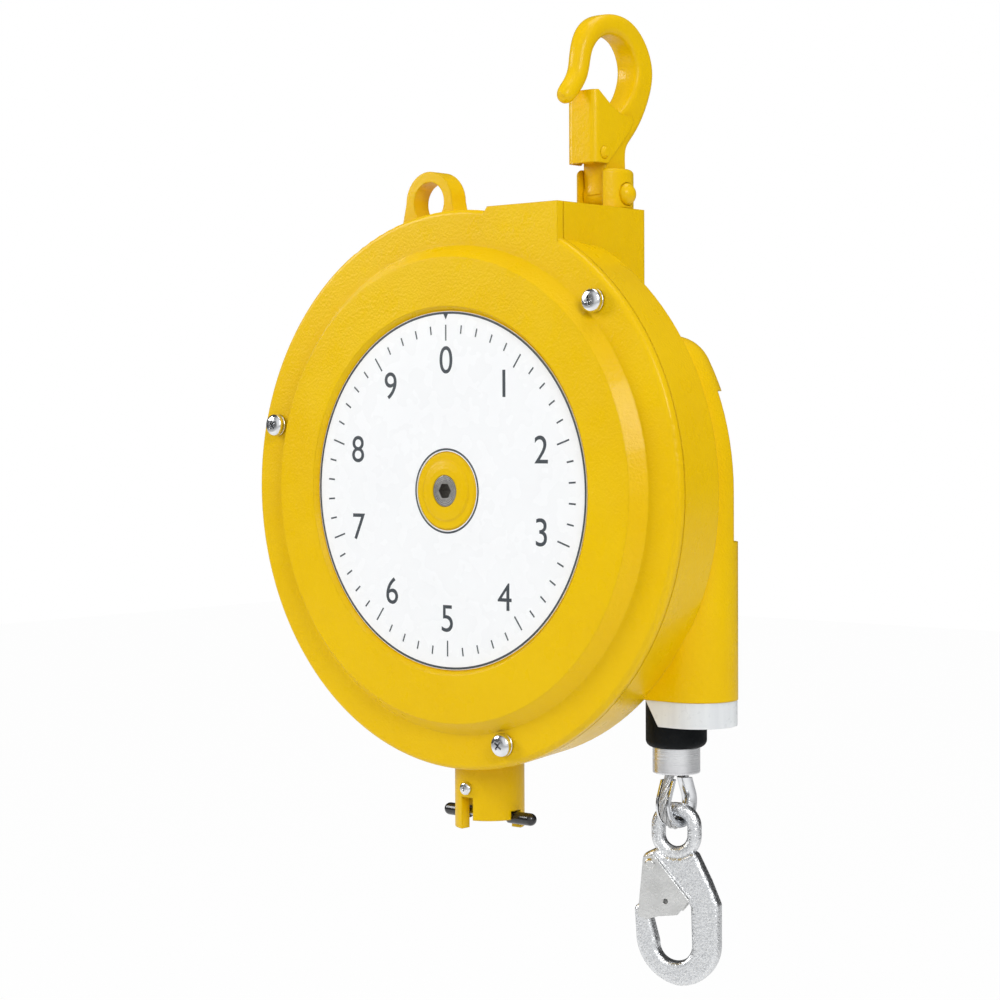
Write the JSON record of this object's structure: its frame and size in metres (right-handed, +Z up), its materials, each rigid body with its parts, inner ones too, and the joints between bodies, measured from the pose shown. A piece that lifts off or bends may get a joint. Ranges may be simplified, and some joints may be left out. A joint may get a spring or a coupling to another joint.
{
  "type": "tool balancer",
  "caption": "Spring balancer with a swivelling top hook with a latch, a drum lock and a snap hook on a retracting cable, for hanging a hand tool.",
  "frame": {"origin": "seat of the top hook, the highest point of the inside of its bowl", "axes": "+Z up, +Y from the cover with the face plate towards the rear case, along the drum's axis, +X towards the cable outlet"},
  "size_m": [0.23, 0.0793, 0.3952],
  "materials": {
    "case_paint": "gloss",
    "hook_paint": "gloss",
    "label": "gloss",
    "zinc": "bright zinc",
    "forged_zinc": "zinc plated forging",
    "machined_steel": "turned",
    "wire_rope": "galvanised",
    "turned_aluminium": "turned",
    "cast_aluminium": "cast",
    "bush_brass": "bored",
    "spring_steel": "blued",
    "white_plastic": "translucent satin",
    "black_rubber": "matt",
    "black_vinyl": "gloss"
  },
  "bodies": {
    "case": {"rear_case": "case_paint", "front_cover": "case_paint", "cover_screws": "zinc", "cover_screw_washers": "zinc", "face_plate": "label", "front_bush": "bush_brass", "rear_bush": "bush_brass", "cable_guide": "white_plastic", "lock_plug": "machined_steel", "lock_screw": "zinc"},
    "drum": {"drum": "cast_aluminium", "drum_lid": "cast_aluminium", "drum_bush": "bush_brass", "power_spring": "spring_steel", "cable_on_drum": "wire_rope"},
    "tension_shaft": {"center_shaft": "machined_steel", "spring_arbor": "machined_steel", "shaft_washer": "zinc", "shaft_nut": "zinc"},
    "cable_end": {"cable_run": "wire_rope", "bumper": "black_rubber", "cable_ferrule": "turned_aluminium", "thimble": "zinc", "cable_loop": "wire_rope"},
    "snap_hook": {"snap_hook": "forged_zinc", "gate_rivet": "zinc", "gate_spring": "spring_steel"},
    "snap_gate": {"snap_gate": "zinc"},
    "lock": {"lock_plunger": "machined_steel", "lock_spring": "spring_steel", "lock_crossbar": "machined_steel", "lock_bar_caps": "black_vinyl"},
    "yoke": {"hook_yoke": "hook_paint", "yoke_pin": "hook_paint", "swivel_nut": "machined_steel", "swivel_washer": "machined_steel"},
    "top_hook": {"top_hook": "hook_paint", "latch_rivet": "hook_paint", "latch_spring": "spring_steel"},
    "hook_latch": {"hook_latch": "hook_paint"}
  },
  "joints": [
    {"name": "drum_turn", "type": "hinge", "parent": "case", "child": "drum", "pos_m": [-0.043, 0, -0.1868], "axis": [0, 1, 0], "range_deg": [0, 1703]},
    {"name": "cable_pull", "type": "slide", "parent": "case", "child": "cable_end", "axis": [0, 0, -1], "range_m": [0, 2.5], "deforming": ["cable_run"]},
    {"name": "tension_set", "type": "hinge", "parent": "case", "child": "tension_shaft", "pos_m": [-0.043, 0, -0.1868], "axis": [0, -1, 0], "continuous": true},
    {"name": "snap_hook_swing", "type": "hinge", "parent": "cable_end", "child": "snap_hook", "pos_m": [0.0389, -0.0044, -0.3153], "axis": [0.9397, 0.342, 0], "range_deg": [-25, 25]},
    {"name": "snap_gate_open", "type": "hinge", "parent": "snap_hook", "child": "snap_gate", "pos_m": [0.02978, -0.00772, -0.3371], "axis": [0.342, -0.9397, 0], "range_deg": [0, 25], "stiffness_Nm_per_rad": 0.03, "springref_deg": -22.92},
    {"name": "lock_pull", "type": "slide", "parent": "case", "child": "lock", "axis": [0, 0, -1], "range_m": [0, 0.004], "stiffness_N_per_m": 900, "springref_m": -0.006, "deforming": ["lock_spring"]},
    {"name": "yoke_swivel", "type": "hinge", "parent": "case", "child": "yoke", "pos_m": [0, 0, -0.07], "axis": [0, 0, 1], "continuous": true},
    {"name": "top_hook_tilt", "type": "hinge", "parent": "yoke", "child": "top_hook", "pos_m": [0, 0, -0.0657], "axis": [1, 0, 0], "range_deg": [-20, 20]},
    {"name": "hook_latch_open", "type": "hinge", "parent": "top_hook", "child": "hook_latch", "pos_m": [0, -0.01, -0.0492], "axis": [-1, 0, 0], "range_deg": [0, 30], "stiffness_Nm_per_rad": 0.05, "springref_deg": -28.65}
  ],
  "couplings": [
    {"joint": "cable_pull", "follows": "drum_turn", "m_per_rad": 0.0841}
  ]
}
